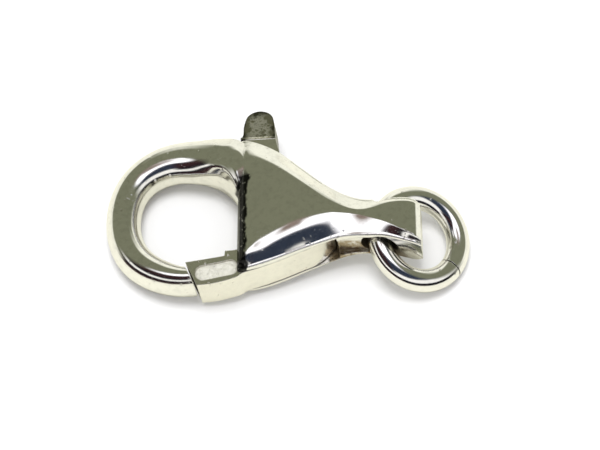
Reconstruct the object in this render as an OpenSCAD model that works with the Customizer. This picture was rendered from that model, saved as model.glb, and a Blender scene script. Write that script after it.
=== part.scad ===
// Lobster clasp with a jump ring, 15 mm long without its ring.
// Drawn flat around its middle plane: the hook to -X, the bail to +X, the thumb tab to +Y.
// At the end it is laid on the table as it lies by itself, hook down and bail raised.

/* [Hook] */
// Width of the hook's loop over its outside
loop_wide = 7.9; // [7.6:0.05:8.3]
// Thickness of the hook and of its tip
hook_thick = 1.9; // [1.7:0.05:2.0]
// Width of the hook's band at its far left
band_wide = 1.45; // [1.2:0.05:1.6]

/* [Body] */
// Length of the body from the wall of the eye to the end of the bail
body_long = 8.5; // [8.2:0.1:9.5]
// Width of the body at the wall of the eye
body_wide = 6.7; // [6.4:0.1:7.0]
// Thickness of the body at its belly
belly_thick = 3.6; // [3.4:0.05:3.9]
// Width of the neck between body and bail
neck_wide = 1.95; // [1.7:0.05:2.2]
// Width of the bail at its end
bail_wide = 2.35; // [2.2:0.05:2.7]
// Thickness of the bail
bail_thick = 2.36; // [2.3:0.02:2.6]
// Diameter of the hole for the jump ring
hole_d = 1.76; // [1.7:0.02:1.8]

/* [Lever] */
// Thickness of the lever
lever_thick = 1.86; // [1.7:0.02:1.9]
// Width of the gate that closes the eye
gate_wide = 1.2; // [1.0:0.05:1.3]
// Gap between the gate and the hook's tip
gate_gap = 0.1; // [0.06:0.01:0.16]
// Width of the thumb tab
tab_wide = 1.5; // [1.3:0.05:1.6]
// How far the thumb tab stands out of the body
tab_out = 2.1; // [1.6:0.1:2.4]
// Clearance between the lever and each cheek of the body
cheek_gap = 0.05; // [0.03:0.01:0.08]

/* [Rivet pin] */
// Diameter of the rivet pin
pin_d = 0.7; // [0.6:0.05:0.8]
// Length of the rivet pin
pin_long = 2.5; // [2.3:0.05:2.6]
// Clearance of the pin in the lever, on the radius
pin_gap = 0.03; // [0.02:0.01:0.05]

/* [Jump ring] */
// Outside diameter of the jump ring
ring_d = 5.2; // [5.1:0.05:5.6]
// Diameter of the ring's wire
wire_d = 1.1; // [1.0:0.02:1.12]
// Width of the closed seam in the ring
seam = 0.06; // [0.04:0.01:0.1]
// How far the ring leans across the clasp, in degrees
ring_lean = 8; // [6:1:10]
// How far the ring swings down from where it lies, in degrees
ring_down = 15; // [10:1:20]
// How far the ring swings up from where it lies, in degrees
ring_up = 45; // [30:1:50]
// Clearance round the ring on its way through the bail
ring_gap = 0.09; // [0.06:0.01:0.12]

/* [Hidden] */
// How far a cut runs on past the metal that it leaves
past = 1;

// A smooth curve through one column of a table whose first column runs upwards
function rowAt(t, s, i = 0) = (i >= len(t) - 2 || s < t[i + 1][0]) ? i : rowAt(t, s, i + 1);
function slopeAt(t, i, c) =
    let (a = max(i - 1, 0), b = min(i + 1, len(t) - 1))
    (t[b][c] - t[a][c]) / (t[b][0] - t[a][0]);
function smooth(t, s, c) =
    let (i = rowAt(t, s), h = t[i + 1][0] - t[i][0], u = (s - t[i][0]) / h)
    (2 * u * u * u - 3 * u * u + 1) * t[i][c] + (u * u * u - 2 * u * u + u) * h * slopeAt(t, i, c)
    + (3 * u * u - 2 * u * u * u) * t[i + 1][c] + (u * u * u - u * u) * h * slopeAt(t, i + 1, c);

// A closed skin over rings that all have the same number of points
module skin(rings) {
    n = len(rings[0]);
    last = len(rings) - 1;
    points = [for (r = rings) each r];
    sides = [for (i = [0:last - 1], k = [0:n - 1])
        let (a = i * n + k, b = i * n + (k + 1) % n, c = a + n, d = b + n)
        each [[a, d, b], [a, c, d]]];
    polyhedron(points = points, faces = concat(
        [[for (k = [0:n - 1]) k]], sides, [[for (k = [n - 1:-1:0]) last * n + k]]));
}

// The hook: angle round the eye, outer radius, band width and half thickness,
// as shares of half the loop, the band and half the hook
half_loop = loop_wide / 2;
half_hook = hook_thick / 2;
half_belly = belly_thick / 2;
eye_x = -0.6 * half_loop;
eye_y = 0.19 * body_wide;
hook_table = [
    [  8, 0.84 * half_loop, 0.50 * band_wide, 1.25 * half_hook],
    [ 22, 0.86 * half_loop, 0.70 * band_wide, 1.42 * half_hook],
    [ 36, 1.00 * half_loop, 1.14 * band_wide, 1.62 * half_hook],
    [ 50, 1.095 * half_loop, 1.45 * band_wide, 1.56 * half_hook],
    [ 68, 1.075 * half_loop, 1.49 * band_wide, 1.20 * half_hook],
    [ 90, 1.045 * half_loop, 1.43 * band_wide, 1.00 * half_hook],
    [115, 1.04 * half_loop, 1.29 * band_wide, 1.00 * half_hook],
    [140, 1.03 * half_loop, 1.16 * band_wide, 1.00 * half_hook],
    [180, 1.00 * half_loop, 1.12 * band_wide, 1.00 * half_hook],
    [220, 1.02 * half_loop, 1.12 * band_wide, 1.00 * half_hook],
    [250, 1.00 * half_loop, 1.01 * band_wide, 1.00 * half_hook],
    [286, 0.985 * half_loop, 0.71 * band_wide, 1.00 * half_hook]];
hook_from = 10;
hook_to = 283;
hook_steps = 38;
band_points = 22;
band_power = 2.05;

// A point of the band's rounded section at one angle of the loop
function power(v) = sign(v) * pow(abs(v), 2 / band_power);
function bandPoint(a, k) =
    let (t = 360 * k / band_points, wide = smooth(hook_table, a, 2),
         r = smooth(hook_table, a, 1) - wide / 2 + power(cos(t)) * wide / 2,
         z = power(sin(t)) * smooth(hook_table, a, 3))
    [eye_x + r * cos(a), eye_y + r * sin(a), z];

// The body's sections: place along the body, far rim, near rim, far and near edge of the flat
// facet, half thickness at the facet and at the rims
half_bail = bail_thick / 2;
body_table = [
    [0.000, 0.712 * body_wide, -0.315 * body_wide, 0.600 * body_wide, -0.290 * body_wide,
        0.60 * half_belly, 0.57 * half_belly],
    [0.022, 0.714 * body_wide, -0.315 * body_wide, 0.585 * body_wide, -0.270 * body_wide,
        0.78 * half_belly, 0.65 * half_belly],
    [0.060, 0.703 * body_wide, -0.310 * body_wide, 0.565 * body_wide, -0.190 * body_wide,
        0.885 * half_belly, 0.69 * half_belly],
    [0.125, 0.671 * body_wide, -0.292 * body_wide, 0.524 * body_wide, -0.082 * body_wide,
        0.94 * half_belly, 0.71 * half_belly],
    [0.230, 0.593 * body_wide, -0.248 * body_wide, 0.438 * body_wide, -0.020 * body_wide,
        1.00 * half_belly, 0.71 * half_belly],
    [0.340, 0.474 * body_wide, -0.192 * body_wide, 0.336 * body_wide, 0.030 * body_wide,
        1.00 * half_belly, 0.69 * half_belly],
    [0.455, 0.350 * body_wide, -0.140 * body_wide, 0.226 * body_wide, 0.062 * body_wide,
        0.93 * half_belly, 0.65 * half_belly],
    [0.560, 0.895 * neck_wide, -0.330 * neck_wide, 0.470 * neck_wide, 0.250 * neck_wide,
        1.22 * half_bail, 0.92 * half_bail],
    [0.640, 0.755 * neck_wide, -0.285 * neck_wide, 0.340 * neck_wide, 0.230 * neck_wide,
        1.08 * half_bail, 0.84 * half_bail],
    [0.720, 0.685 * neck_wide, -0.295 * neck_wide, 0.360 * neck_wide, 0.150 * neck_wide,
        1.00 * half_bail, 0.82 * half_bail],
    [0.800, 0.585 * bail_wide, -0.260 * bail_wide, 0.430 * bail_wide, 0.030 * bail_wide,
        0.98 * half_bail, 0.82 * half_bail],
    [0.900, 0.600 * bail_wide, -0.370 * bail_wide, 0.470 * bail_wide, -0.180 * bail_wide,
        0.98 * half_bail, 0.80 * half_bail],
    [0.960, 0.560 * bail_wide, -0.440 * bail_wide, 0.440 * bail_wide, -0.300 * bail_wide,
        0.96 * half_bail, 0.78 * half_bail],
    [1.000, 0.470 * bail_wide, -0.470 * bail_wide, 0.400 * bail_wide, -0.380 * bail_wide,
        0.70 * half_bail, 0.62 * half_bail]];
wall_x = 0.12;
body_steps = [0, 0.011, 0.022, 0.04, 0.06, 0.09, 0.125, 0.175, 0.23, 0.285, 0.34, 0.4, 0.455, 0.51,
    0.56, 0.6, 0.64, 0.68, 0.72, 0.76, 0.8, 0.85, 0.9, 0.93, 0.96, 0.98, 1];
flank_points = 6;
rim_round = 0.12;

// How much the flank below the facet bows: less at the wall and towards the neck
function flankBow(s) = 2 - 0.8 * min(1, max(0, (s - 0.36) / 0.16)) - 0.6 * max(0, 1 - s / 0.1);

// The upper half of one section of the body, from the far rim over the facet to the near rim
function sectionTop(s) =
    let (far = smooth(body_table, s, 1), near = smooth(body_table, s, 2),
         edge_a = smooth(body_table, s, 3), edge_b = smooth(body_table, s, 4),
         top = smooth(body_table, s, 5), rim = smooth(body_table, s, 6),
         round = min(rim_round, 0.3 * rim), bow = flankBow(s))
    concat(
        [[far, rim - round], [far - 0.3 * round, rim - 0.3 * round], [far - round, rim]],
        [[edge_a, top], [(edge_a + edge_b) / 2, top]],
        [for (k = [0:flank_points])
            let (u = k / flank_points)
            [edge_b + (near + round - edge_b) * u, top - (top - rim) * pow(u, bow)]],
        [[near + 0.3 * round, rim - 0.3 * round], [near, rim - round]]);
function bodyRing(s) =
    let (top = sectionTop(s), n = len(top), x = wall_x + s * body_long)
    concat([for (p = top) [x, p[0], p[1]]],
           [for (k = [n - 1:-1:0]) [x, top[k][0], -top[k][1]]]);

// The pivot and what turns on it
pivot = [0.306 * body_long, -0.112 * body_wide];
slot_thick = lever_thick + 2 * cheek_gap;
slot_r = 0.25 * body_long;
web_wide = 0.34;
far_rim = 0.66 * body_wide;
tab_end = far_rim + tab_out;

// The joint between hook and gate runs outward from here and slants to the right
joint = [eye_x, eye_y - 0.70 * half_loop];
joint_way = [sin(25), -cos(25)];
joint_across = [cos(25), sin(25)];

// The bail's hole, which runs across the clasp
hole_x = wall_x + 0.775 * body_long;
ring_r = (ring_d - wire_d) / 2;
ring_in = [wall_x + 0.765 * body_long, 0.03 * body_wide, -(hole_d - wire_d) / 2 * 0.55];

hook_rings = [for (i = [0:hook_steps])
    let (a = hook_from + (hook_to - hook_from) * i / hook_steps)
    [for (k = [0:band_points - 1]) bandPoint(a, k)]];
body_rings = [for (s = body_steps) bodyRing(s)];

// How the clasp lies: pitched so that the hook and the belly both touch the table
hook_points = [for (r = hook_rings) each r];
body_points = [for (r = body_rings) each r];
function lowest(points, angle) =
    min([for (p = points) p[0] * sin(angle) + p[2] * cos(angle)]);
function pitchFor(low, high, n) =
    let (mid = (low + high) / 2)
    n == 0 ? mid
    : lowest(hook_points, mid) > lowest(body_points, mid) ? pitchFor(mid, high, n - 1)
    : pitchFor(low, mid, n - 1);
pitch = pitchFor(0, 20, 22);
lift = -min(lowest(hook_points, pitch), lowest(body_points, pitch));

// The ring hangs from the bail and its outer end lies on the table
ring_in_z = ring_in[0] * sin(pitch) + ring_in[2] * cos(pitch) + lift;
function ringLow(b) =
    ring_in_z - wire_d / 2 - ring_r * (sin(b) + sqrt(1 - pow(cos(ring_lean) * cos(b), 2)));
function sagFor(low, high, n) =
    let (mid = (low + high) / 2)
    n == 0 ? mid : ringLow(mid) > 0 ? sagFor(mid, high, n - 1) : sagFor(low, mid, n - 1);
ring_sag = sagFor(0, 60, 24);

module lying() {
    translate([-middle[0], -middle[1], lift]) rotate([0, -pitch, 0]) children();
}

// The ring's place beside the clasp drawn flat
module ringInPlace() {
    translate(ring_in) rotate([0, ring_sag + pitch, 0]) rotate([ring_lean, 0, 0]) children();
}

// A ring of wire that passes through the hinge point in the bail
seam_turn = -35;
module wireRing(open, round_sides, wire_sides) {
    translate([ring_r, 0, 0])
        rotate([0, 0, seam_turn + open / 2])
            rotate_extrude(angle = 360 - open, $fn = round_sides)
                translate([ring_r, 0]) circle(d = wire_d, $fn = wire_sides);
}

module hook() {
    skin([for (r = hook_rings) [for (k = [band_points - 1:-1:0]) r[k]]]);
}

module shell() {
    skin(body_rings);
}

// The slot between the cheeks, open at the gate, along the near side and at the tab
slot_end = 38;
module slot() {
    translate([0, 0, -slot_thick / 2]) linear_extrude(slot_thick) polygon(concat(
        [[-0.2 * body_long, -body_wide], [pivot[0] + slot_r, -body_wide]],
        [for (a = [0:slot_end / 6:slot_end]) pivot + slot_r * [cos(a), sin(a)]],
        [[pivot[0] + slot_r * cos(slot_end), far_rim + past],
         [wall_x + 0.5 * web_wide, far_rim + past],
         [wall_x + web_wide, 0.33 * body_wide],
         [wall_x + web_wide, 0.02 * body_wide],
         [-0.2 * body_long, 0.02 * body_wide]]));
}

// A shallow hollow in the near side of the neck
module neckHollow() {
    translate([wall_x + 0.5 * body_long, -body_wide, -0.62 * half_bail])
        cube([hole_x - wall_x - 0.5 * body_long, 0.94 * body_wide, 1.24 * half_bail]);
}

// The hole through the bail, flared to both sides to let the ring swing in it. Each section
// across the hinge line is the hull of the plain hole and of the wire at a few stops
room_points = 32;
room_stops = [-ring_down, 0, ring_up / 3, ring_up * 2 / 3, ring_up];
room_steps = [-0.86, -0.69, -0.6, -0.46, -0.24, 0, 0.24, 0.46, 0.6, 0.69, 0.86];
hole_off = [(hole_x - ring_in[0]) * cos(ring_sag + pitch) + ring_in[2] * sin(ring_sag + pitch),
    (hole_x - ring_in[0]) * sin(ring_sag + pitch) - ring_in[2] * cos(ring_sag + pitch)];
function farthest(choices) =
    let (most = max([for (c = choices) c[0]])) [for (c = choices) if (c[0] == most) c[1]][0];
function wireReach(a, stop, out, wide, high) =
    let (c = cos(a - stop), s = sin(a - stop), n = norm([wide * c, high * s]),
         x = out + wide * wide * c / n, z = high * high * s / n)
    [out * c + n, [x * cos(stop) - z * sin(stop), x * sin(stop) + z * cos(stop)]];
function roomRing(t) =
    let (high = wire_d / 2 + ring_gap, y = ring_r * t,
         inner = ring_r - sqrt(max(0, pow(ring_r - high, 2) - y * y)),
         outer = ring_r - sqrt(pow(ring_r + high, 2) - y * y),
         out = (inner + outer) / 2, wide = (inner - outer) / 2)
    [for (k = [room_points:-1:1])
        let (a = 360 * (k + 0.3) / room_points, way = [cos(a), sin(a)],
             p = farthest(concat([[hole_off * way + hole_d / 2, hole_off + way * hole_d / 2]],
                 [for (stop = room_stops) wireReach(a, stop, out, wide, high)])))
        [p[0], y, p[1]]];
module bailHole() {
    ringInPlace() skin([for (t = room_steps) roomRing(t)]);
}

// The casting, fused into one skin: resize with zeros keeps every size
module casting() {
    resize([0, 0, 0]) difference() {
        union() {
            hook();
            shell();
        }
        slot();
        neckHollow();
        gateClear();
        pinSeat();
        bailHole();
    }
}

// The seat of the pin, open below and blind above
seat_sides = 24;
seat_turn = 8;
seat_gap = 0.01;
module pinSeat() {
    translate([pivot[0], pivot[1], -half_belly - past]) rotate(seat_turn)
        cylinder(h = half_belly + past + pin_long / 2,
            d = (pin_d + 2 * seat_gap) / cos(180 / seat_sides), $fn = seat_sides);
}

module body() {
    color("silver") lying() casting();
}

// The slanted end of the hook's tip, a gap away from the gate
module gateClear() {
    cut = joint - joint_across * gate_gap / 2;
    translate([0, 0, -half_hook - past]) linear_extrude(hook_thick + 2 * past) polygon([
        cut - joint_way * gate_wide, cut + joint_way * 2 * gate_wide,
        cut + joint_way * 2 * gate_wide + [gate_wide, 0], cut - joint_way * gate_wide + [gate_wide, 0]]);
}

// The lever's outline, from the gate's tip along its inner side, up the arm, round the tab,
// down to the heel and back along the near rim; a point given twice is a sharp corner
gate_in = joint + joint_across * gate_gap / 2;
gate_out = gate_in + joint_way * 1.12 * gate_wide;
arm_x = wall_x + web_wide + 2 * cheek_gap;
tab_x = wall_x + 0.11 * tab_wide;
knob_step = 0.12;
heel = pivot + [0.92 * slot_r, 0.27 * slot_r];
tab_y = far_rim + 0.32 * tab_out;
lever_points = [
    gate_in, gate_in,
    [0.45 * joint[0], -0.196 * body_wide],
    [0.21 * joint[0], -0.184 * body_wide], [0.21 * joint[0], -0.184 * body_wide],
    [0.20 * joint[0], -0.145 * body_wide], [0.20 * joint[0], -0.145 * body_wide],
    [wall_x, -0.138 * body_wide],
    [arm_x + 0.03 * body_wide, -0.085 * body_wide],
    [arm_x + 0.02 * body_wide, 0.12 * body_wide],
    [arm_x, 0.34 * body_wide],
    [arm_x - 0.05 * tab_wide, far_rim - 0.30 * tab_wide],
    [arm_x - 0.09 * tab_wide, far_rim + 0.22 * tab_out],
    [wall_x + 0.04 * tab_wide, far_rim + 0.25 * tab_out], [wall_x + 0.04 * tab_wide, far_rim + 0.25 * tab_out],
    [wall_x + 0.03 * tab_wide, far_rim + 0.30 * tab_out], [wall_x + 0.03 * tab_wide, far_rim + 0.30 * tab_out],
    [tab_x, far_rim + 0.40 * tab_out],
    [tab_x + 0.02 * tab_wide, tab_y + 0.45 * (tab_end - tab_y)],
    [tab_x + 0.14 * tab_wide, tab_y + 0.83 * (tab_end - tab_y)],
    [tab_x + 0.42 * tab_wide, tab_end],
    [tab_x + 0.72 * tab_wide, tab_end - 0.02 * tab_out],
    [tab_x + 0.92 * tab_wide, tab_y + 0.80 * (tab_end - tab_y)],
    [tab_x + 0.99 * tab_wide, tab_y + 0.50 * (tab_end - tab_y)],
    [tab_x + 1.03 * tab_wide, tab_y],
    [tab_x + 1.12 * tab_wide, far_rim + 0.01 * tab_wide],
    [pivot[0] - 0.15 * tab_wide, 0.46 * body_wide],
    [pivot[0] + 0.10 * tab_wide, 0.28 * body_wide],
    pivot + [0.30 * slot_r, 0.88 * slot_r],
    pivot + [0.54 * slot_r, 0.77 * slot_r],
    pivot + [0.72 * slot_r, 0.60 * slot_r],
    pivot + [0.85 * slot_r, 0.40 * slot_r],
    heel, heel,
    [0.458 * body_long + wall_x, -0.110 * body_wide],
    [0.400 * body_long + wall_x, -0.160 * body_wide],
    [0.340 * body_long + wall_x, -0.189 * body_wide],
    [0.230 * body_long + wall_x, -0.245 * body_wide],
    [0.125 * body_long + wall_x, -0.290 * body_wide],
    [0.050 * body_long, -0.322 * body_wide],
    [0.0, -0.357 * body_wide],
    [0.40 * joint[0], -0.392 * body_wide],
    gate_out, gate_out];
outline_steps = 4;
function curvePoint(p, i, u) =
    let (n = len(p), a = p[(i + n - 1) % n], b = p[i], c = p[(i + 1) % n], d = p[(i + 2) % n])
    0.5 * (2 * b + (c - a) * u + (2 * a - 5 * b + 4 * c - d) * u * u
    + (3 * b - a - 3 * c + d) * u * u * u);
lever_outline = [for (i = [0:len(lever_points) - 1])
    if (norm(lever_points[(i + 1) % len(lever_points)] - lever_points[i]) > 0)
        each [for (k = [0:outline_steps - 1]) curvePoint(lever_points, i, k / outline_steps)]];

// The origin is under the middle of the lying clasp
hook_left = min([for (p = hook_points) p[0] * cos(pitch) - p[2] * sin(pitch)]);
ring_right = ring_in[0] * cos(pitch) - ring_in[2] * sin(pitch) + ring_r * cos(ring_sag)
    + ring_r * sqrt(1 - pow(cos(ring_lean) * sin(ring_sag), 2)) + wire_d / 2;
near_end = min([for (p = lever_outline) p[1]]);
far_end = max([for (p = lever_outline) p[1]]);
middle = [(hook_left + ring_right) / 2, (near_end + far_end) / 2];

// The sunk oval on the gate, left plain
oval_long = 1.75;
oval_wide = 0.64 * gate_wide;
oval_deep = 0.08;
module gateOval() {
    translate([0.33 * joint[0], -0.290 * body_wide, lever_thick / 2 - oval_deep])
        rotate([0, 0, 10]) {
            for (side = [-1, 1])
                translate([side * (oval_long - oval_wide) / 2, 0, 0])
                    cylinder(h = past, d = oval_wide, $fn = 32);
            translate([-(oval_long - oval_wide) / 2, -oval_wide / 2, 0])
                cube([oval_long - oval_wide, oval_wide, past]);
        }
}

module lever() {
    color("silver") lying() difference() {
        translate([0, 0, -lever_thick / 2]) linear_extrude(lever_thick) polygon(lever_outline);
        translate([pivot[0], pivot[1], -belly_thick])
            cylinder(h = 2 * belly_thick, d = pin_d + 2 * pin_gap, $fn = 48);
        gateOval();
        for (side = [-1, 1])
            translate([tab_x - tab_wide, tab_y,
                side * (lever_thick - knob_step) - lever_thick / 2])
                cube([3 * tab_wide, 2 * tab_out, lever_thick]);
    }
}

module rivetPin() {
    color("darkgray") lying() translate([pivot[0], pivot[1], -pin_long / 2])
        cylinder(h = pin_long - seat_gap, d = pin_d, $fn = 48);
}

module jumpRing() {
    color("silver") lying() ringInPlace() wireRing(2 * asin(seam / 2 / ring_r), 96, 32);
}

body();
lever();
rivetPin();  // rivet_pin
jumpRing();  // jump_ring
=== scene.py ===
import math
import bmesh
import bpy
from mathutils import Matrix, Vector, noise


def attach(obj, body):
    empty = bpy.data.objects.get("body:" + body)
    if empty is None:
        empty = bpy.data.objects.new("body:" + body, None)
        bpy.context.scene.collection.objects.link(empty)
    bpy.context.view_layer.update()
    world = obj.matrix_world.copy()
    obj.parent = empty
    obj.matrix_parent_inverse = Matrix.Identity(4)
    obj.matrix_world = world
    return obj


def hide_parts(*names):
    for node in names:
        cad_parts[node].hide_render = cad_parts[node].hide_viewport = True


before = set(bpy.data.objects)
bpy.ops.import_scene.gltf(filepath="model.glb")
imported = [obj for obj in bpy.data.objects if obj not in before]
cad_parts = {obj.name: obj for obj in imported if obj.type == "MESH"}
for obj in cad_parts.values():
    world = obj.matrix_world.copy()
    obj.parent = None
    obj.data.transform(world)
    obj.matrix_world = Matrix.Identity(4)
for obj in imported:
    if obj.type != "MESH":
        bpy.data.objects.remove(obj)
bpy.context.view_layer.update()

# how the clasp lies, as the solids do, and how its ring hangs in the eye
lying = {
    "pitch": 6.4046,  # degrees, hook end down
    "lift": 1.56233,  # height of its middle plane
    "middle": (2.34148, 1.92365),  # middle of clasp and ring together
    "ringPoint": (6.6225, 0.201, -0.1815),  # where the wire bears on the eye
    "ringSag": 21.8519,  # degrees that the ring hangs down
    "ringLean": 8.0,  # degrees that it leans to one side
}
millimetre = 0.001
layDown = (Matrix.Scale(millimetre, 4)
           @ Matrix.Translation((-lying["middle"][0], -lying["middle"][1], lying["lift"]))
           @ Matrix.Rotation(math.radians(-lying["pitch"]), 4, "Y"))


def smoothColumn(table, s, column):
    # a Hermite curve through one column of a table whose first column runs upwards
    def slope(i):
        before, after = table[max(i - 1, 0)], table[min(i + 1, len(table) - 1)]
        return (after[column] - before[column]) / (after[0] - before[0])
    i = 0
    while i < len(table) - 2 and s >= table[i + 1][0]:
        i += 1
    h = table[i + 1][0] - table[i][0]
    u = (s - table[i][0]) / h
    return ((2 * u**3 - 3 * u**2 + 1) * table[i][column] + (u**3 - 2 * u**2 + u) * h * slope(i)
            + (3 * u**2 - 2 * u**3) * table[i + 1][column] + (u**3 - u**2) * h * slope(i + 1))


def meshObject(name, points, faces):
    mesh = bpy.data.meshes.new(name)
    mesh.from_pydata([tuple(p) for p in points], [], faces)
    mesh.validate()
    made = bpy.data.objects.new(name, mesh)
    bpy.context.scene.collection.objects.link(made)
    return made


def faceOutward(made):
    bm = bmesh.new()
    bm.from_mesh(made.data)
    bmesh.ops.recalc_face_normals(bm, faces=bm.faces)
    bm.to_mesh(made.data)
    bm.free()


def loft(name, sections):
    # a skin over sections of equal length, closed at both ends
    n, last = len(sections[0]), len(sections) - 1
    faces = [(i * n + k, i * n + (k + 1) % n, (i + 1) * n + (k + 1) % n, (i + 1) * n + k)
             for i in range(last) for k in range(n)]
    faces.append(tuple(range(n))[::-1])
    faces.append(tuple(last * n + k for k in range(n)))
    made = meshObject(name, [p for section in sections for p in section], faces)
    faceOutward(made)
    return made


def prism(name, outline, low, high):
    # a flat outline given a thickness
    n = len(outline)
    points = [(x, y, low) for x, y in outline] + [(x, y, high) for x, y in outline]
    faces = [tuple(range(n))[::-1], tuple(range(n, 2 * n))]
    faces += [(k, (k + 1) % n, n + (k + 1) % n, n + k) for k in range(n)]
    made = meshObject(name, points, faces)
    faceOutward(made)
    return made


def circlePoint(radius, degrees):
    return radius * Vector((math.cos(math.radians(degrees)), math.sin(math.radians(degrees))))


def circleRow(centre, radius, sides, z):
    turns = [2 * math.pi * k / sides for k in range(sides)]
    return [(centre.x + radius * math.cos(t), centre.y + radius * math.sin(t), z) for t in turns]


def uprightBar(name, centre, low, high, radius, sides):
    return loft(name, [circleRow(centre, radius, sides, z) for z in (low, high)])


def bake(made):
    # what the modifiers give becomes the mesh
    depsgraph = bpy.context.evaluated_depsgraph_get()
    result = bpy.data.meshes.new_from_object(made.evaluated_get(depsgraph))
    made.modifiers.clear()
    made.data = result


def combine(target, other, operation):
    step = target.modifiers.new("step", "BOOLEAN")
    step.operation = operation
    step.object = other
    step.solver = "EXACT"
    bake(target)
    bpy.data.objects.remove(other)


def softenRims(made, width, segments, angle):
    step = made.modifiers.new("rims", "BEVEL")
    step.width = width
    step.segments = segments
    step.limit_method = "ANGLE"
    step.angle_limit = math.radians(angle)
    step.miter_outer = "MITER_ARC"
    bake(made)


def finishShape(made, angle, place=layDown):
    for face in made.data.polygons:
        face.use_smooth = True
    made.data.set_sharp_from_angle(angle=math.radians(angle))
    step = made.modifiers.new("flats", "WEIGHTED_NORMAL")  # large flats stay flat in the mirror finish
    step.keep_sharp = True
    bake(made)
    made.data.transform(place)


# the jump ring: round wire bent shut, with a sawn seam
ring = {
    "radius": 2.05, "wire": 1.1,
    "seam": 0.06, "seamAngle": -35,  # width and place of the saw cut
    "jitter": 0.012, "jitterScale": 3.1,  # how unevenly the wire's two ends are cut
    "around": 220, "across": 56,
}


def ringPlace():
    return (Matrix.Translation(lying["ringPoint"])
            @ Matrix.Rotation(math.radians(lying["ringSag"] + lying["pitch"]), 4, "Y")
            @ Matrix.Rotation(math.radians(lying["ringLean"]), 4, "X"))


def makeRing():
    seamLong = math.degrees(ring["seam"] / ring["radius"])
    scale = ring["jitterScale"]
    sections = []
    for i in range(ring["around"] + 1):
        a = ring["seamAngle"] + seamLong / 2 + (360 - seamLong) * i / ring["around"]
        section = []
        for k in range(ring["across"]):
            t = 2 * math.pi * k / ring["across"]
            r = ring["radius"] + ring["wire"] / 2 * math.cos(t)
            b = math.radians(a)
            if i in (0, ring["around"]):
                sawn = noise.noise(Vector((scale * math.cos(t) + i, scale * math.sin(t), 0.7)))
                b += ring["jitter"] * sawn
            section.append((ring["radius"] + r * math.cos(b), r * math.sin(b), ring["wire"] / 2 * math.sin(t)))
        sections.append(section)
    made = loft("jump_ring_wire", sections)
    finishShape(made, 40, layDown @ ringPlace())
    return made


# the cast body: hook, shell, neck and bail in one
body = {
    "long": 8.5, "wide": 6.7, "bellyThick": 3.6, "wallX": 0.12,
    "loopWide": 7.9, "hookThick": 1.9, "bandWide": 1.45, "bandPower": 2.05,
    "neckWide": 1.95, "bailWide": 2.35, "bailThick": 2.36, "holeWide": 1.76,
    "slotThick": 1.96, "slotTurn": 38, "webWide": 0.34, "neckHollow": 0.62,
    "pinWide": 0.72, "pinTop": 1.25,  # seat of the pin, blind at the top
    "rimRound": 0.14, "ridgeRound": 0.34,
    "flankBow": 2.0, "lessAtNeck": 0.8, "lessAtWall": 0.6,  # fullness of the near flank
    "hookFrom": 10, "hookTo": 283,  # degrees round the loop's middle
    "rootFrom": 86, "rootLong": 30,  # where the band begins to turn into the shell, and over how much
    "gateGap": 0.1, "gateLean": 25, "gateRoom": (1.2, 2.4, 1.2),  # gap, its lean, and the room cut behind it
    "ringGap": 0.09, "ringStops": (-15, 45),  # the ring's play in the bail's eye, and its swing in degrees
    "hookSteps": 150, "hookPoints": 56, "shellSteps": 150,
    "holeSteps": 48, "holePoints": 96, "holeReach": 0.86, "sharpFrom": 32,
}
bodyLong, bodyWide, wallX = body["long"], body["wide"], body["wallX"]
halfLoop, halfHook = body["loopWide"] / 2, body["hookThick"] / 2
halfBelly, halfBail = body["bellyThick"] / 2, body["bailThick"] / 2
loopMiddle = Vector((-0.6 * halfLoop, 0.19 * bodyWide))
pivot = Vector((0.306 * bodyLong, -0.112 * bodyWide))  # middle of the rivet pin
slotRadius = 0.25 * bodyLong  # round end of the slot, clear of the heel
farRim = 0.66 * bodyWide
joint = Vector((loopMiddle.x, loopMiddle.y - 0.70 * halfLoop))  # where the gate meets the hook's tip
gateLean = math.radians(body["gateLean"])
jointWay = Vector((math.sin(gateLean), -math.cos(gateLean)))
jointAcross = Vector((math.cos(gateLean), math.sin(gateLean)))
neckFrom, holeX = wallX + 0.5 * bodyLong, wallX + 0.775 * bodyLong
neckFloor = -0.06 * bodyWide

# angle round the loop's middle, outer radius, band width, half thickness
hookTable = [(a, r * halfLoop, w * body["bandWide"], t * halfHook) for a, r, w, t in (
    (8, 0.84, 0.50, 1.25), (22, 0.86, 0.70, 1.42), (36, 1.00, 1.14, 1.62), (50, 1.095, 1.45, 1.56),
    (68, 1.075, 1.49, 1.20), (90, 1.045, 1.43, 1.00), (115, 1.04, 1.29, 1.00), (140, 1.03, 1.16, 1.00),
    (180, 1.00, 1.12, 1.00), (220, 1.02, 1.12, 1.00), (250, 1.00, 1.01, 1.00), (286, 0.985, 0.71, 1.00))]

# the band's half section at its root, from the outer rim over the top to the inner edge:
# how far along, then place and height as parts of half the width and of the thickness
rootSection = [
    (0.0, 1.0, 0.0), (0.14, 1.0, 0.77), (0.17, 0.985, 0.82), (0.30, 0.56, 0.955), (0.34, 0.48, 0.985),
    (0.38, 0.38, 1.0), (0.58, -0.22, 0.99), (0.72, -0.60, 0.86), (0.86, -0.90, 0.50), (1.0, -1.0, 0.0)]

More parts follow.
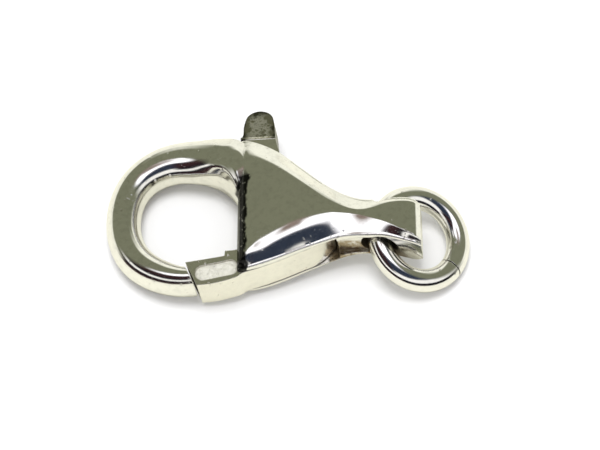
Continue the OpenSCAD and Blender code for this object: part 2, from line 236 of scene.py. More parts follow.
# place along the body; a width, and as parts of it the far rim, the near rim and the facet's far and near edge;
# a half thickness, and as parts of it the height of the facet and of the rim
shellTable = [
    (s, *(part * wide for part in edges), facet * half, rim * half)
    for s, wide, edges, half, facet, rim in (
        (0.000, bodyWide, (0.712, -0.315, 0.600, -0.290), halfBelly, 0.60, 0.57),
        (0.022, bodyWide, (0.714, -0.315, 0.585, -0.270), halfBelly, 0.78, 0.65),
        (0.060, bodyWide, (0.703, -0.310, 0.565, -0.190), halfBelly, 0.885, 0.69),
        (0.125, bodyWide, (0.671, -0.292, 0.524, -0.082), halfBelly, 0.94, 0.71),
        (0.230, bodyWide, (0.593, -0.248, 0.438, -0.020), halfBelly, 1.00, 0.71),
        (0.340, bodyWide, (0.474, -0.192, 0.336, 0.030), halfBelly, 1.00, 0.69),
        (0.455, bodyWide, (0.350, -0.140, 0.226, 0.062), halfBelly, 0.93, 0.65),
        (0.560, body["neckWide"], (0.895, -0.330, 0.470, 0.250), halfBail, 1.22, 0.92),
        (0.640, body["neckWide"], (0.755, -0.285, 0.340, 0.230), halfBail, 1.08, 0.84),
        (0.720, body["neckWide"], (0.685, -0.295, 0.360, 0.150), halfBail, 1.00, 0.82),
        (0.800, body["bailWide"], (0.585, -0.260, 0.430, 0.030), halfBail, 0.98, 0.82),
        (0.900, body["bailWide"], (0.600, -0.370, 0.470, -0.180), halfBail, 0.98, 0.80),
        (0.960, body["bailWide"], (0.560, -0.440, 0.440, -0.300), halfBail, 0.96, 0.78),
        (1.000, body["bailWide"], (0.470, -0.470, 0.400, -0.380), halfBail, 0.70, 0.62))]


def rootPoint(u):
    for (u0, across0, high0), (u1, across1, high1) in zip(rootSection, rootSection[1:]):
        if u <= u1:
            part = (u - u0) / (u1 - u0)
            return across0 + (across1 - across0) * part, high0 + (high1 - high0) * part
    return rootSection[-1][1:]


def roundPower(value):
    # a circle's sine or cosine, swelled a little towards a square
    return math.copysign(abs(value) ** (2 / body["bandPower"]), value)


def hookSection(a):
    wide = smoothColumn(hookTable, a, 2)
    middleRadius = smoothColumn(hookTable, a, 1) - wide / 2
    thick = smoothColumn(hookTable, a, 3)
    # towards the root the round band turns into the shell's flat top with its far bevel
    part = min(1, max(0, (body["rootFrom"] - a) / body["rootLong"]))
    blend = part * part * (3 - 2 * part)
    way = (math.cos(math.radians(a)), math.sin(math.radians(a)))
    section = []
    for k in range(body["hookPoints"]):
        t = 2 * math.pi * k / body["hookPoints"]
        across, z = roundPower(math.cos(t)) * wide / 2, roundPower(math.sin(t)) * thick
        u, side = (t / math.pi, 1) if k <= body["hookPoints"] / 2 else (2 - t / math.pi, -1)
        rootAcross, rootHigh = rootPoint(u)
        across += blend * (rootAcross * wide / 2 - across)
        z += blend * (side * rootHigh * thick - z)
        r = middleRadius + across
        section.append((loopMiddle.x + r * way[0], loopMiddle.y + r * way[1], z))
    return section


def arcPoints(a, corner, b, count):
    # a rounded corner between two points
    return [(1 - u)**2 * a + 2 * u * (1 - u) * corner + u**2 * b
            for u in (k / count for k in range(count + 1))]


def evened(s, column):
    # the column averaged over a short stretch, so that mirrored edges run without kinks
    reach = min(0.04, 0.5 * s, 0.5 * (1 - s))
    return sum(smoothColumn(shellTable, s + reach * k / 4, column) for k in range(-4, 5)) / 9


def shellSection(s):
    far, near, facetFar, facetNear, top, rim = (evened(s, column) for column in range(1, 7))
    bow = (body["flankBow"] - body["lessAtNeck"] * min(1, max(0, (s - 0.36) / 0.16))
           - body["lessAtWall"] * max(0, 1 - s / 0.1))
    corner = min(body["rimRound"], 0.3 * rim)
    ridge, facetEnd = Vector((facetFar, top)), Vector((facetNear, top))
    farTop, nearTop = Vector((far - corner, rim)), Vector((near + corner, rim))
    reach = min(body["ridgeRound"], 0.35 * (farTop - ridge).length, 0.35 * (facetFar - facetNear))
    before = ridge + (farTop - ridge).normalized() * reach
    after = ridge + Vector((-reach, 0))
    upper = arcPoints(Vector((far, rim - corner)), Vector((far, rim)), farTop, 5)
    upper += [farTop.lerp(before, k / 8) for k in range(1, 8)]
    upper += arcPoints(before, ridge, after, 8)
    upper += [after.lerp(facetEnd, k / 8) for k in range(1, 9)]
    upper += [Vector((facetNear + (nearTop.x - facetNear) * u, top - (top - rim) * u**bow))
              for u in (k / 20 for k in range(1, 20))]
    upper += arcPoints(nearTop, Vector((near, rim)), Vector((near, rim - corner)), 5)
    x = wallX + s * bodyLong
    return [(x, p.x, p.y) for p in upper] + [(x, p.x, -p.y) for p in reversed(upper)]


def bailHole():
    # the hole through the bail, flared to both sides to let the ring swing in it
    radius, high, hole = ring["radius"], ring["wire"] / 2 + body["ringGap"], body["holeWide"] / 2
    steps, count, reach = body["holeSteps"], body["holePoints"], body["holeReach"]
    down = math.radians(lying["ringSag"] + lying["pitch"])
    dx, dz = holeX - lying["ringPoint"][0], -lying["ringPoint"][2]
    plain = (dx * math.cos(down) - dz * math.sin(down), dx * math.sin(down) + dz * math.cos(down))
    firstStop, lastStop = body["ringStops"]
    stops = [math.radians(v) for v in range(firstStop, lastStop + 1, 5)]
    sections = []
    for i in range(steps + 1):
        y = radius * (-reach + 2 * reach * i / steps)
        # the wire's own section at this y, with its play
        inner = radius - math.sqrt(max(0, (radius - high) ** 2 - y * y))
        outer = radius - math.sqrt((radius + high) ** 2 - y * y)
        out, wide = (inner + outer) / 2, (inner - outer) / 2
        section = []
        for k in range(count):
            # the farthest point in this direction, of the plain hole and of the wire at every stop
            a = 2 * math.pi * k / count
            c, s = math.cos(a), math.sin(a)
            best = (plain[0] * c + plain[1] * s + hole, (plain[0] + hole * c, plain[1] + hole * s))
            for stop in stops:
                cs, sn = math.cos(a - stop), math.sin(a - stop)
                n = math.hypot(wide * cs, high * sn)
                x, z = out + wide * wide * cs / n, high * high * sn / n
                best = max(best, (out * cs + n, (x * math.cos(stop) - z * math.sin(stop),
                                                 x * math.sin(stop) + z * math.cos(stop))))
            section.append((best[1][0], y, best[1][1]))
        sections.append(section)
    made = loft("bailHole", sections)
    made.data.transform(ringPlace())
    return made


def makeBody():
    # closer sections near both ends
    count = body["shellSteps"]
    spread = [0.5 * (2 * i / count) ** 1.4 for i in range(count // 2)]
    made = loft("body_casting", [shellSection(s) for s in spread + [0.5] + [1 - s for s in reversed(spread)]])
    turn = body["hookTo"] - body["hookFrom"]
    hook = loft("hook", [hookSection(body["hookFrom"] + turn * i / body["hookSteps"])
                         for i in range(body["hookSteps"] + 1)])
    combine(made, hook, "UNION")
    # the slot for the lever, with a web left at the wall and a round end that clears the heel
    half, web, left, low, high = body["slotThick"] / 2, body["webWide"], -0.2 * bodyLong, -bodyWide, farRim + 1
    heelArc = [tuple(pivot + circlePoint(slotRadius, body["slotTurn"] * i / 16)) for i in range(17)]
    outline = [(left, low), (pivot.x + slotRadius, low), *heelArc, (heelArc[-1][0], high),
               (wallX + 0.5 * web, high), (wallX + web, 0.33 * bodyWide), (wallX + web, 0.02 * bodyWide),
               (left, 0.02 * bodyWide)]
    combine(made, prism("slot", outline, -half, half), "DIFFERENCE")
    # the hook's tip is cut back to leave room for the gate
    above, below, across = body["gateRoom"]
    cutAt = joint - jointAcross * body["gateGap"] / 2
    top, foot = cutAt - jointWay * above, cutAt + jointWay * below
    corners = [tuple(p) for p in (top, foot, foot + Vector((across, 0)), top + Vector((across, 0)))]
    combine(made, prism("gateRoom", corners, -2, 2), "DIFFERENCE")
    deep = body["neckHollow"] * halfBail
    neckBox = [(neckFrom, low), (holeX, low), (holeX, neckFloor), (neckFrom, neckFloor)]
    combine(made, prism("neckHollow", neckBox, -deep, deep), "DIFFERENCE")
    combine(made, bailHole(), "DIFFERENCE")
    combine(made, uprightBar("pinSeat", pivot, -3, body["pinTop"], body["pinWide"] / 2, 48), "DIFFERENCE")
    finishShape(made, body["sharpFrom"])
    return made


bodyPiece = makeBody()
print("body cast:", len(bodyPiece.data.polygons), "faces")


# the lever: gate, heel, arm and thumb tab in one
lever = {
    "thick": 1.86, "gateWide": 1.2, "tabWide": 1.5, "tabOut": 2.1, "boreWide": 0.76,
    "rim": 0.07, "outlineSteps": 9, "sharpFrom": 38,
    "knobFrom": 0.32,  # where the tab steps down to its rough knob, as a part of tabOut
    "knobStep": 0.12, "slopeLong": 0.15,  # the step on each face and the narrow slope along it
    "ovalLong": 2.05, "ovalDeep": 0.08, "ovalTurn": 10,
}
gateWide, tabWide, tabOut = lever["gateWide"], lever["tabWide"], lever["tabOut"]
tabY = farRim + lever["knobFrom"] * tabOut


def leverPoints():
    # round the outline from the gate's inner corner; a point given twice is a sharp corner
    gateIn = joint + jointAcross * body["gateGap"] / 2
    gateOut = gateIn + jointWay * 1.12 * gateWide
    armX, tabX = wallX + body["webWide"] + 0.1, wallX + 0.11 * tabWide
    tabEnd = farRim + tabOut
    rise = tabEnd - tabY
    heel = pivot + Vector((0.92, 0.27)) * slotRadius
    points = [
        # inner side of the gate, and up along the wall
        gateIn, gateIn, (0.45 * joint.x, -0.196 * bodyWide),
        (0.21 * joint.x, -0.184 * bodyWide), (0.21 * joint.x, -0.184 * bodyWide),
        (0.20 * joint.x, -0.145 * bodyWide), (0.20 * joint.x, -0.145 * bodyWide), (wallX, -0.138 * bodyWide),
        (armX + 0.03 * bodyWide, -0.085 * bodyWide), (armX + 0.02 * bodyWide, 0.12 * bodyWide),
        (armX, 0.34 * bodyWide),
        (armX - 0.05 * tabWide, farRim - 0.30 * tabWide), (armX - 0.09 * tabWide, farRim + 0.22 * tabOut),
        # the thumb tab
        (wallX + 0.04 * tabWide, farRim + 0.25 * tabOut), (wallX + 0.04 * tabWide, farRim + 0.25 * tabOut),
        (wallX + 0.03 * tabWide, farRim + 0.30 * tabOut), (wallX + 0.03 * tabWide, farRim + 0.30 * tabOut),
        (tabX, farRim + 0.40 * tabOut), (tabX + 0.02 * tabWide, tabY + 0.45 * rise),
        (tabX + 0.14 * tabWide, tabY + 0.83 * rise), (tabX + 0.42 * tabWide, tabEnd),
        (tabX + 0.72 * tabWide, tabEnd - 0.02 * tabOut), (tabX + 0.92 * tabWide, tabY + 0.80 * rise),
        (tabX + 0.99 * tabWide, tabY + 0.50 * rise), (tabX + 1.03 * tabWide, tabY),
        (tabX + 1.12 * tabWide, farRim + 0.01 * tabWide),
        # the arm's outer side, round over the heel
        (pivot.x - 0.15 * tabWide, 0.46 * bodyWide), (pivot.x + 0.10 * tabWide, 0.28 * bodyWide),
        *(pivot + Vector(share) * slotRadius
          for share in ((0.30, 0.88), (0.54, 0.77), (0.72, 0.60), (0.85, 0.40))),
        heel, heel,
        # back under the belly to the gate's outer corner
        (0.458 * bodyLong + wallX, -0.110 * bodyWide), (0.400 * bodyLong + wallX, -0.160 * bodyWide),
        (0.340 * bodyLong + wallX, -0.189 * bodyWide), (0.230 * bodyLong + wallX, -0.245 * bodyWide),
        (0.125 * bodyLong + wallX, -0.290 * bodyWide), (0.050 * bodyLong, -0.322 * bodyWide),
        (0.0, -0.357 * bodyWide), (0.40 * joint.x, -0.392 * bodyWide), gateOut, gateOut]
    return [Vector(p) for p in points]


def curveThrough(points, steps):
    # a closed Catmull-Rom curve
    made = []
    n = len(points)
    for i in range(n):
        a, b, c, d = points[i - 1], points[i], points[(i + 1) % n], points[(i + 2) % n]
        if (c - b).length == 0:
            continue
        for u in (k / steps for k in range(steps)):
            made.append(0.5 * (2 * b + (c - a) * u + (2 * a - 5 * b + 4 * c - d) * u**2
                               + (3 * b - a - 3 * c + d) * u**3))
    return made


def ovalOutline(long, wide, count):
    reach = (long - wide) / 2
    turns = [2 * math.pi * (k + 0.5) / count for k in range(count)]
    return [(math.copysign(reach, math.cos(t)) + wide / 2 * math.cos(t), wide / 2 * math.sin(t)) for t in turns]


def makeLever():
    half, slopeLong, deep = lever["thick"] / 2, lever["slopeLong"], lever["ovalDeep"]
    outline = [tuple(p) for p in curveThrough(leverPoints(), lever["outlineSteps"])]
    made = prism("gate_lever", outline, -half, half)
    # the knob is thinner than the rest, with a step on both faces and a slope along each step
    for side in (-1, 1):
        low, high = sorted((side * (half - lever["knobStep"]), side * (half + 1)))
        box = [(-1, tabY), (3, tabY), (3, tabY + 3), (-1, tabY + 3)]
        combine(made, prism("knobCut", box, low, high), "DIFFERENCE")
    for side in (-1, 1):
        slope = [(tabY - slopeLong, half + 0.001), (tabY + 0.001, half - 0.42 * slopeLong),
                 (tabY + 0.001, half + 0.2), (tabY - slopeLong, half + 0.2)]
        combine(made, loft("slope", [[(x, y, side * z) for y, z in slope] for x in (-1, 3)]), "DIFFERENCE")
    softenRims(made, lever["rim"], 3, 50)
    combine(made, uprightBar("bore", pivot, -3, 3, lever["boreWide"] / 2, 64), "DIFFERENCE")
    # the sunk oval on the gate, left plain, whose floor has a finish of its own
    sunk = prism("oval", ovalOutline(lever["ovalLong"], 0.64 * gateWide, 48), half - deep, half + 0.5)
    sunk.data.transform(Matrix.Translation((0.36 * joint.x, -0.292 * bodyWide, 0))
                        @ Matrix.Rotation(math.radians(lever["ovalTurn"]), 4, "Z"))
    combine(made, sunk, "DIFFERENCE")
    for face in made.data.polygons:
        if abs(face.center.z - half + deep) < 0.001 and face.normal.z > 0.9:
            face.material_index = 1
    finishShape(made, lever["sharpFrom"])
    return made


leverPiece = makeLever()
print("lever made:", len(leverPiece.data.polygons), "faces")


# the rivet pin: a filed bar with a slightly domed foot
pin = {"wide": 0.7, "long": 2.5, "dome": 0.05, "sides": 64}


def makePin():
    foot, head = -0.5 * pin["long"], 0.5 * pin["long"]
    profile = [(0.25, foot), (0.62, foot + 0.012), (0.9, foot + 0.03), (1.0, foot + pin["dome"] + 0.02),
               (1.0, head - 0.06), (0.86, head - 0.01)]
    rows = [circleRow(pivot, share * pin["wide"] / 2, pin["sides"], z) for share, z in profile]
    made = loft("rivet_pin_filed", rows)
    finishShape(made, 40)
    return made


pinPiece, ringPiece = makePin(), makeRing()
print("pin and ring made")

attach(bodyPiece, "clasp")
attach(pinPiece, "clasp")
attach(leverPiece, "gate_lever")
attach(ringPiece, "ring")
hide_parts("body")
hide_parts("rivet_pin")
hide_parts("lever")
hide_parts("jump_ring")


def newGroup(name, inputs, outputs):
    group = bpy.data.node_groups.new(name, "ShaderNodeTree")
    for label, kind, value in inputs:
        socket = group.interface.new_socket(name=label, in_out="INPUT", socket_type=kind)
        socket.default_value = value
    for label in outputs:
        group.interface.new_socket(name=label, in_out="OUTPUT", socket_type="NodeSocketFloat")
    return group, group.nodes.new("NodeGroupInput"), group.nodes.new("NodeGroupOutput")


def mathNode(tree, operation, a, b=None, clamp=False):
    node = tree.nodes.new("ShaderNodeMath")
    node.operation = operation
    node.use_clamp = clamp
    for socket, value in zip(node.inputs, (a, b)):
        if value is None:
            continue
        if isinstance(value, (int, float)):
            socket.default_value = value
        else:
            tree.links.new(value, socket)
    return node.outputs[0]


def plus(tree, a, b):
    return mathNode(tree, "ADD", a, b)


def minus(tree, a, b):
    return mathNode(tree, "SUBTRACT", a, b)


def times(tree, a, b, clamp=False):
    return mathNode(tree, "MULTIPLY", a, b, clamp)


def noiseAt(tree, coords, scale, detail, roughness=0.5, stretch=None):
    if stretch:
        mapping = tree.nodes.new("ShaderNodeMapping")
        mapping.inputs["Rotation"].default_value = stretch[0]
        mapping.inputs["Scale"].default_value = stretch[1]
        tree.links.new(coords, mapping.inputs["Vector"])
        coords = mapping.outputs[0]
    node = tree.nodes.new("ShaderNodeTexNoise")
    node.inputs["Scale"].default_value = scale
    node.inputs["Detail"].default_value = detail
    node.inputs["Roughness"].default_value = roughness
    tree.links.new(coords, node.inputs["Vector"])
    return node.outputs["Fac"]


def ranged(tree, value, fromLow, fromHigh, toLow=0.0, toHigh=1.0):
    node = tree.nodes.new("ShaderNodeMapRange")
    limits = {"From Min": fromLow, "From Max": fromHigh, "To Min": toLow, "To Max": toHigh}
    for label, number in limits.items():
        node.inputs[label].default_value = number
    tree.links.new(value, node.inputs["Value"])
    return node.outputs[0]


def colourMix(tree, factor, a, b):
    node = tree.nodes.new("ShaderNodeMix")
    node.data_type = "RGBA"
    tree.links.new(factor, node.inputs["Factor"])
    for socket, value in ((node.inputs["A"], a), (node.inputs["B"], b)):
        if isinstance(value, tuple):
            socket.default_value = (*value, 1)
        else:
            tree.links.new(value, socket)
    return node.outputs["Result"]


# how coarse each noise of the silver is, per metre, and how high what it makes stands
texture = {
    "streak": 900.0, "streakHigh": -0.05, "streakStretch": (0.35, 14.0, 9.0),
    "streakTurns": ((0.3, 0.2, 0.5), (0.1, 1.1, -0.7), (1.2, 0.4, 1.9)),
    "wave": 620.0, "waveHigh": 1.7, "fine": 9000.0, "fineHigh": 0.02,
    "pits": 5200.0, "pitPatches": 700.0, "pitHigh": 1.4,
    "specks": 1700.0, "speckPatches": 420.0, "speckHigh": 7.0,
    "tarnish": 2200.0, "tint": 380.0, "mottle": 3600.0, "stamp": 4200.0, "ragged": 1100.0,
}
vectorIn = ("Vector", "NodeSocketVector", (0, 0, 0))


def polishMarks():
    # hairline scratches in three directions and a faint wave left by the polishing wheel
    group, inside, outside = newGroup("polish marks", [vectorIn, ("Amount", "NodeSocketFloat", 1.0)],
                                      ["Height", "Scratch"])
    coords, amount = inside.outputs["Vector"], inside.outputs["Amount"]
    lines = None
    for turn in texture["streakTurns"]:
        streak = noiseAt(group, coords, texture["streak"], 2.0, 0.6, (turn, texture["streakStretch"]))
        line = ranged(group, streak, 0.70, 0.80)
        lines = line if lines is None else mathNode(group, "MAXIMUM", lines, line)
    wave = times(group, noiseAt(group, coords, texture["wave"], 2.0, 0.45), texture["waveHigh"])
    fine = times(group, noiseAt(group, coords, texture["fine"], 3.0, 0.6), texture["fineHigh"])
    height = plus(group, times(group, lines, texture["streakHigh"]), plus(group, wave, fine))
    group.links.new(times(group, height, amount), outside.inputs["Height"])
    group.links.new(times(group, lines, amount), outside.inputs["Scratch"])
    return group


def castPits():
    # small pits and raised specks that casting leaves
    group, inside, outside = newGroup("cast pits", [vectorIn, ("Spread", "NodeSocketFloat", 0.62)],
                                      ["Pit", "Speck"])
    coords = inside.outputs["Vector"]
    patches = times(group, noiseAt(group, coords, texture["pitPatches"], 2.0, 0.5), 0.35)
    pits = plus(group, noiseAt(group, coords, texture["pits"], 2.0, 0.5), patches)
    pits = minus(group, pits, plus(group, inside.outputs["Spread"], 0.22))
    group.links.new(times(group, pits, 12.0, True), outside.inputs["Pit"])
    cells = group.nodes.new("ShaderNodeTexVoronoi")
    cells.inputs["Scale"].default_value = texture["specks"]
    group.links.new(coords, cells.inputs["Vector"])
    chosen = ranged(group, noiseAt(group, coords, texture["speckPatches"], 2.0), 0.50, 0.56)
    dots = ranged(group, cells.outputs["Distance"], 0.13, 0.03)
    group.links.new(times(group, dots, chosen), outside.inputs["Speck"])
    return group


def recessTarnish():
    # brown-grey tarnish where little light and no polishing wheel reaches
    group, inside, outside = newGroup("recess tarnish", [vectorIn, ("Reach", "NodeSocketFloat", 0.0005),
                                                         ("Start", "NodeSocketFloat", 0.75)], ["Mask"])
    shade = group.nodes.new("ShaderNodeAmbientOcclusion")
    shade.samples = 8
    group.links.new(inside.outputs["Reach"], shade.inputs["Distance"])
    cloud = minus(group, noiseAt(group, inside.outputs["Vector"], texture["tarnish"], 4.0, 0.6), 0.5)
    dark = minus(group, inside.outputs["Start"], shade.outputs["AO"])
    dark = plus(group, dark, times(group, cloud, 0.35))
    group.links.new(times(group, dark, 2.4, True), outside.inputs["Mask"])
    return group


groups = {"marks": polishMarks(), "pits": castPits(), "tarnish": recessTarnish()}

# "rough" is the polished roughness and what dirt adds to it, "edge" the radius of worn edges in metres
finishes = {
    "body": {
        "metal": 1.0, "light": (0.90, 0.89, 0.85), "dark": (0.30, 0.25, 0.18), "rough": (0.085, 0.34),
        "bump": 0.16, "marks": 1.0, "pitSpread": 0.65, "tarnishStart": 0.74, "edge": 0.00006, "mottle": 0.4},
    "lever": {
        "metal": 1.0, "light": (0.89, 0.87, 0.80), "dark": (0.28, 0.24, 0.16), "rough": (0.14, 0.40),
        "bump": 0.22, "marks": 1.2, "pitSpread": 0.66, "tarnishStart": 0.66, "edge": 0.00004, "mottle": 0.25},
    "stamp": {
        "metal": 0.45, "light": (0.99, 0.97, 0.87), "dark": (0.40, 0.38, 0.30), "rough": (0.28, 0.20),
        "bump": 0.5, "grainHigh": 9.0,
        "marks": 1.5, "pitSpread": 0.58, "tarnishStart": 0.80, "edge": 0.00002, "mottle": 0.8},
    "pin": {
        "metal": 1.0, "light": (0.80, 0.79, 0.76), "dark": (0.30, 0.27, 0.22), "rough": (0.22, 0.45),
        "bump": 0.25, "marks": 1.5, "pitSpread": 0.60, "tarnishStart": 0.6, "edge": 0.00003, "mottle": 0.4},
    "ring": {
        "metal": 1.0, "light": (0.92, 0.91, 0.88), "dark": (0.30, 0.26, 0.20), "rough": (0.08, 0.26),
        "bump": 0.12, "marks": 1.0, "pitSpread": 0.72, "tarnishStart": 0.55, "edge": 0.00003, "mottle": 0.2},
}


def place(tree, group, coords, **values):
    node = tree.nodes.new("ShaderNodeGroup")
    node.node_tree = group
    tree.links.new(coords, node.inputs["Vector"])
    for label, value in values.items():
        node.inputs[label].default_value = value
    return node


def insideEdges(tree, where, ragged, edges):
    # a mask bounded by edges: axis, where it starts, where it is full
    inside = None
    for axis, start, full in edges:
        side = ranged(tree, plus(tree, where.outputs[axis], ragged), start, full)
        inside = side if inside is None else times(tree, inside, side)
    return inside


def rimPaintedReflection(tree, where, grit, rim):
    # a painted dark reflection kept along the rim of a rough place, outside a lighter middle
    far = None
    for axis, centre, reach in zip("XY", rim["middle"], rim["reach"]):
        off = times(tree, minus(tree, where.outputs[axis], centre), 1000 / reach)  # the reach is in millimetres
        fourth = mathNode(tree, "POWER", mathNode(tree, "ABSOLUTE", off), 4.0)
        far = fourth if far is None else plus(tree, far, fourth)
    worn = plus(tree, far, times(tree, minus(tree, grit, 0.5), 2.2))
    return ranged(tree, worn, 0.20, 0.60)


def silver(name, look, roughPaintedDarkPlaces=()):
    material = bpy.data.materials.new(name)
    material.use_nodes = True
    tree = material.node_tree
    shader = tree.nodes["Principled BSDF"]
    coords = tree.nodes.new("ShaderNodeTexCoord").outputs["Object"]
    marks = place(tree, groups["marks"], coords, Amount=look["marks"])
    pits = place(tree, groups["pits"], coords, Spread=look["pitSpread"])
    tarnish = place(tree, groups["tarnish"], coords, Start=look["tarnishStart"])

    # colour: the bare metal, cloudy and mottled, then dirt in pits and recesses
    cloud = noiseAt(tree, coords, texture["tint"], 3.0, 0.55)
    cloudy, mottled = (tuple(part * c for c in look["light"]) for part in (0.93, 0.72))
    tint = colourMix(tree, ranged(tree, cloud, 0.35, 0.7), look["light"], cloudy)
    mottle = noiseAt(tree, coords, texture["mottle"], 3.0, 0.6)
    tint = colourMix(tree, ranged(tree, mottle, 0.46, 0.70, 0.0, look["mottle"]), tint, mottled)
    dirt = mathNode(tree, "MAXIMUM", tarnish.outputs["Mask"], times(tree, pits.outputs["Pit"], 0.3))
    colour = colourMix(tree, dirt, tint, look["dark"])

    # roughness and height
    polished, dirty = look["rough"]
    gloss = plus(tree, ranged(tree, cloud, 0.3, 0.75, polished, polished * 1.7),
                 times(tree, marks.outputs["Scratch"], 0.10))
    dull = plus(tree, times(tree, dirt, dirty), times(tree, pits.outputs["Speck"], 0.55))
    height = minus(tree, marks.outputs["Height"], times(tree, pits.outputs["Pit"], texture["pitHigh"]))
    height = plus(tree, height, times(tree, pits.outputs["Speck"], texture["speckHigh"]))
    if "grainHigh" in look:
        grain = noiseAt(tree, coords, texture["stamp"], 2.0)
        height = plus(tree, height, times(tree, grain, look["grainHigh"]))

    # places left as cast, with a grit bump; their dark colour is painted shade on the end wall and in the
    # neck's hollow, and painted dark reflection on the knob, left bright only on the high spots
    for rough in roughPaintedDarkPlaces:
        where = tree.nodes.new("ShaderNodeSeparateXYZ")
        tree.links.new(coords, where.inputs[0])
        ragged = times(tree, minus(tree, noiseAt(tree, coords, texture["ragged"], 3.0), 0.5), rough["ragged"])
        inside = insideEdges(tree, where, ragged, rough["edges"])
        grit = noiseAt(tree, coords, rough["scale"], 4.0, 0.7)
        deep = times(tree, inside, ranged(tree, grit, *rough["bright"]))
        colour = colourMix(tree, deep, colour, rough["colour"])
        height = plus(tree, height, times(tree, inside, times(tree, grit, rough["lift"])))
        dull = plus(tree, dull, times(tree, inside, 0.1))
        if "rim" in rough:
            # the knob's darker rim: painted dark reflection
            paintedRim = times(tree, inside, rimPaintedReflection(tree, where, grit, rough["rim"]))
            colour = colourMix(tree, paintedRim, colour, rough["rim"]["colour"])

    worn = tree.nodes.new("ShaderNodeBevel")
    worn.samples = 6
    worn.inputs["Radius"].default_value = look["edge"]
    bump = tree.nodes.new("ShaderNodeBump")
    bump.inputs["Strength"].default_value = look["bump"]
    bump.inputs["Distance"].default_value = 0.00004
    tree.links.new(height, bump.inputs["Height"])
    tree.links.new(worn.outputs[0], bump.inputs["Normal"])
    tree.links.new(bump.outputs[0], shader.inputs["Normal"])
    tree.links.new(colour, shader.inputs["Base Color"])
    tree.links.new(plus(tree, gloss, dull), shader.inputs["Roughness"])
    shader.inputs["Metallic"].default_value = look["metal"]
    return material


# rough places whose colour holds painted shade and painted dark reflection, bounded by edges in the frame's
# metres: the knob, the end wall and the hollow of the neck
# the knob is painted dark olive with a darker rim: a painted dark reflection, over an as-cast grit bump
tabFrom = (farRim + lever["knobFrom"] * tabOut - lying["middle"][1]) * millimetre
tabMiddle = layDown @ Vector((wallX + 0.63 * tabWide, farRim + 0.56 * tabOut, lever["thick"] / 2))
roughTabPaintedReflection = {
    "edges": [("Y", tabFrom - 0.0002, tabFrom - 0.00016)],
    "scale": 2300.0, "ragged": 0.0, "lift": 8.0, "bright": (0.56, 0.47), "colour": (0.32, 0.31, 0.23),
    "rim": {"middle": tabMiddle, "reach": (0.53 * tabWide, 0.47 * tabOut), "colour": (0.10, 0.10, 0.07)},
}
# the end wall where the hook meets the shell is painted near black: painted shade, over an as-cast grit bump
wallAt = (wallX - lying["middle"][0]) * millimetre
roughWallPaintedShade = {
    "edges": [("X", wallAt + 0.00036, wallAt + 0.00026), ("X", wallAt - 0.0003, wallAt - 0.0002),
              ("Y", 0.0011, 0.0006), ("Z", 0.0020, 0.0023)],
    "scale": 3600.0, "ragged": 0.0009, "lift": 0.35, "bright": (0.70, 0.60), "colour": (0.022, 0.022, 0.020),
}
# the hollow of the neck is painted tan-brown: painted shade, over an as-cast grit bump
neckStart, neckEnd = (layDown @ Vector((x, 0, 0)) for x in (neckFrom, holeX))
neckEdge = (neckFloor - lying["middle"][1]) * millimetre
roughNeckPaintedShade = {
    "edges": [("X", neckStart.x - 0.0001, neckStart.x), ("X", neckEnd.x + 0.0002, neckEnd.x),
              ("Y", neckEdge - 0.0006, neckEdge - 0.0003), ("Y", neckEdge + 0.0002, neckEdge + 0.0001),
              ("Z", 0.0025, 0.0023)],
    "scale": 3000.0, "ragged": 0.0003, "lift": 3.0, "bright": (0.66, 0.48), "colour": (0.34, 0.27, 0.17),
}
bodyPiece.data.materials.append(silver("cast silver", finishes["body"], (roughWallPaintedShade, roughNeckPaintedShade)))
leverPiece.data.materials.append(silver("lever silver", finishes["lever"], (roughTabPaintedReflection,)))
leverPiece.data.materials.append(silver("stamped silver", finishes["stamp"]))
pinPiece.data.materials.append(silver("filed silver", finishes["pin"]))
ringPiece.data.materials.append(silver("drawn silver", finishes["ring"]))
print("finishes made")


# the table, the light and the camera
studio = {
    "floorSize": 0.9, "floorColour": (0.90, 0.90, 0.91), "floorMirrored": (0.80, 0.79, 0.68),
    "keyPower": 0.24, "keySize": 0.09, "keyPlace": (-0.012, 0.004, 0.2),
    "fill": (0.86, 0.86, 0.86), "backdrop": (0.98, 0.98, 0.98), "worldStrength": 1.0,
    "elevation": 62.0, "distance": 0.094, "lens": 119.6, "target": (0.000566, -0.001104, 0.0016),
}


def makeFloor():
    half, steps = studio["floorSize"] / 2, 12
    points = [((2 * i / steps - 1) * half, (2 * j / steps - 1) * half, 0)
              for i in range(steps + 1) for j in range(steps + 1)]
    corner = [i * (steps + 1) + j for i in range(steps) for j in range(steps)]
    made = meshObject("table_top", points, [(c, c + steps + 1, c + steps + 2, c + 1) for c in corner])
    material = bpy.data.materials.new("pale table")
    material.use_nodes = True
    tree = material.node_tree
    shader = tree.nodes["Principled BSDF"]
    # the floor is a darker cream only where the silver mirrors it, and white to the camera: a painted
    # reflection
    mirrored = tree.nodes.new("ShaderNodeLightPath").outputs["Is Glossy Ray"]
    seen = colourMix(tree, mirrored, studio["floorColour"], studio["floorMirrored"])
    tree.links.new(seen, shader.inputs["Base Color"])
    shader.inputs["Roughness"].default_value = 0.6
    made.data.materials.append(material)
    return made


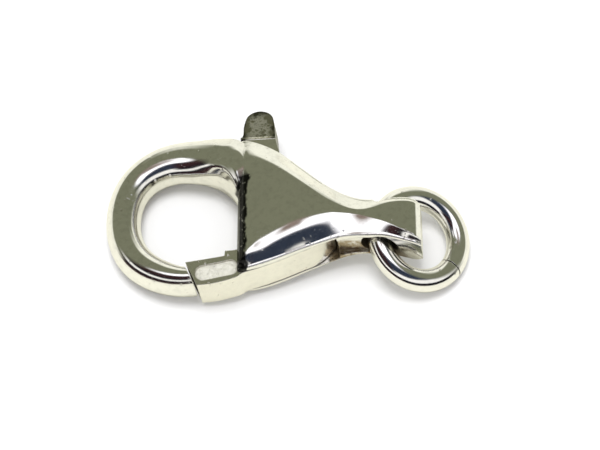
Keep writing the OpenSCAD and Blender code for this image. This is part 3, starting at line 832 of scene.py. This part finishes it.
# what the polished silver mirrors, by side and by height: 0 at the table top, 1 overhead
white, cream, olive, tan = (1.05, 1.04, 1.02), (1.02, 1.02, 0.90), (0.200, 0.208, 0.142), (0.27, 0.21, 0.18)
black, inky, maroon = (0.010, 0.010, 0.014), (0.030, 0.040, 0.065), (0.045, 0.020, 0.022)
tent = {
    "far": [(0.0, cream), (0.28, cream), (0.40, olive), (0.80, olive), (0.92, tan), (1.0, tan)],
    "left": [(0.0, cream), (0.06, cream), (0.16, olive), (0.80, olive), (0.92, tan), (1.0, tan)],
    "right": [(0.0, cream), (0.12, cream), (0.24, olive), (0.80, olive), (0.92, tan), (1.0, tan)],
    "near": [(0.0, black), (0.21, black), (0.24, white), (0.42, white), (0.48, inky), (0.86, inky),
             (0.95, tan), (1.0, tan)],
    "nearLeft": [(0.0, maroon), (0.21, black), (0.24, white), (0.33, white), (0.37, black), (0.60, maroon),
                 (0.82, black), (0.92, tan), (1.0, tan)],
    "lamp": {"centre": (0.02, -0.07), "reach": (0.52, 0.235), "soft": 0.14, "colour": (1.6, 1.6, 1.7)},
    "hanger": {"centre": (-0.02, 0.06), "reach": (0.15, 0.18), "soft": 0.45, "colour": tan},
}


def heightRamp(tree, height, stops):
    node = tree.nodes.new("ShaderNodeValToRGB")
    node.color_ramp.interpolation = "EASE"
    while len(node.color_ramp.elements) < len(stops):
        node.color_ramp.elements.new(0.5)
    for element, (position, colour) in zip(node.color_ramp.elements, stops):
        element.position = position
        element.color = (*colour, 1)
    tree.links.new(height, node.inputs[0])
    return node.outputs[0]


def ovalPatch(tree, way, under, oval):
    # a soft-edged oval of one colour around a direction near the zenith
    across, along = (times(tree, minus(tree, way.outputs[axis], centre), 1 / reach)
                     for axis, centre, reach in zip("XY", oval["centre"], oval["reach"]))
    away = mathNode(tree, "SQRT", plus(tree, times(tree, across, across), times(tree, along, along)))
    return colourMix(tree, ranged(tree, away, 1 + oval["soft"], 1 - oval["soft"]), under, oval["colour"])


def makeWorld():
    # a pale tent low down on the far side, and on the near side a white strip with black below it and
    # blue-black above; over it all a broad lamp, with something brown hanging in front of it
    world = bpy.data.worlds.new("tent")
    bpy.context.scene.world = world
    world.use_nodes = True
    tree = world.node_tree
    tree.nodes.clear()
    out = tree.nodes.new("ShaderNodeOutputWorld")
    back = tree.nodes.new("ShaderNodeBackground")
    way = tree.nodes.new("ShaderNodeSeparateXYZ")
    tree.links.new(tree.nodes.new("ShaderNodeTexCoord").outputs["Generated"], way.inputs[0])
    height = times(tree, mathNode(tree, "ARCSINE", way.outputs["Z"]), 2 / math.pi)
    far, left, right, near, nearLeft = (heightRamp(tree, height, tent[side])
                                        for side in ("far", "left", "right", "near", "nearLeft"))
    seen = colourMix(tree, ranged(tree, way.outputs["X"], -0.12, -0.45), far, left)
    seen = colourMix(tree, ranged(tree, way.outputs["X"], 0.25, 0.6), seen, right)
    near = colourMix(tree, ranged(tree, way.outputs["X"], 0.0, -0.2), near, nearLeft)
    seen = colourMix(tree, ranged(tree, way.outputs["Y"], 0.12, -0.2), seen, near)
    seen = ovalPatch(tree, way, seen, tent["lamp"])
    seen = ovalPatch(tree, way, seen, tent["hanger"])
    light = tree.nodes.new("ShaderNodeLightPath")
    seen = colourMix(tree, light.outputs["Is Diffuse Ray"], seen, studio["fill"])
    seen = colourMix(tree, light.outputs["Is Camera Ray"], seen, studio["backdrop"])
    tree.links.new(seen, back.inputs["Color"])
    back.inputs["Strength"].default_value = studio["worldStrength"]
    tree.links.new(back.outputs[0], out.inputs[0])


def makeLight():
    data = bpy.data.lights.new("soft box", "AREA")
    data.shape = "DISK"
    data.size = studio["keySize"]
    data.energy = studio["keyPower"]
    made = bpy.data.objects.new("soft box", data)
    made.location = studio["keyPlace"]
    made.rotation_euler = (Vector(studio["target"]) - made.location).to_track_quat("-Z", "Y").to_euler()
    made.visible_glossy = False  # the silver mirrors the tent's own lamp
    bpy.context.scene.collection.objects.link(made)


def makeCamera():
    data = bpy.data.cameras.new("camera")
    data.lens = studio["lens"]
    data.sensor_width = 36.0
    data.clip_start = 0.005
    data.clip_end = 10.0
    made = bpy.data.objects.new("camera", data)
    bpy.context.scene.collection.objects.link(made)
    up = math.radians(studio["elevation"])
    made.location = Vector(studio["target"]) + studio["distance"] * Vector((0, -math.cos(up), math.sin(up)))
    made.rotation_euler = (math.radians(90 - studio["elevation"]), 0, 0)
    bpy.context.scene.camera = made


makeFloor()
makeWorld()
makeLight()
makeCamera()
bpy.context.scene.view_settings.view_transform = "Standard"
print("studio set")
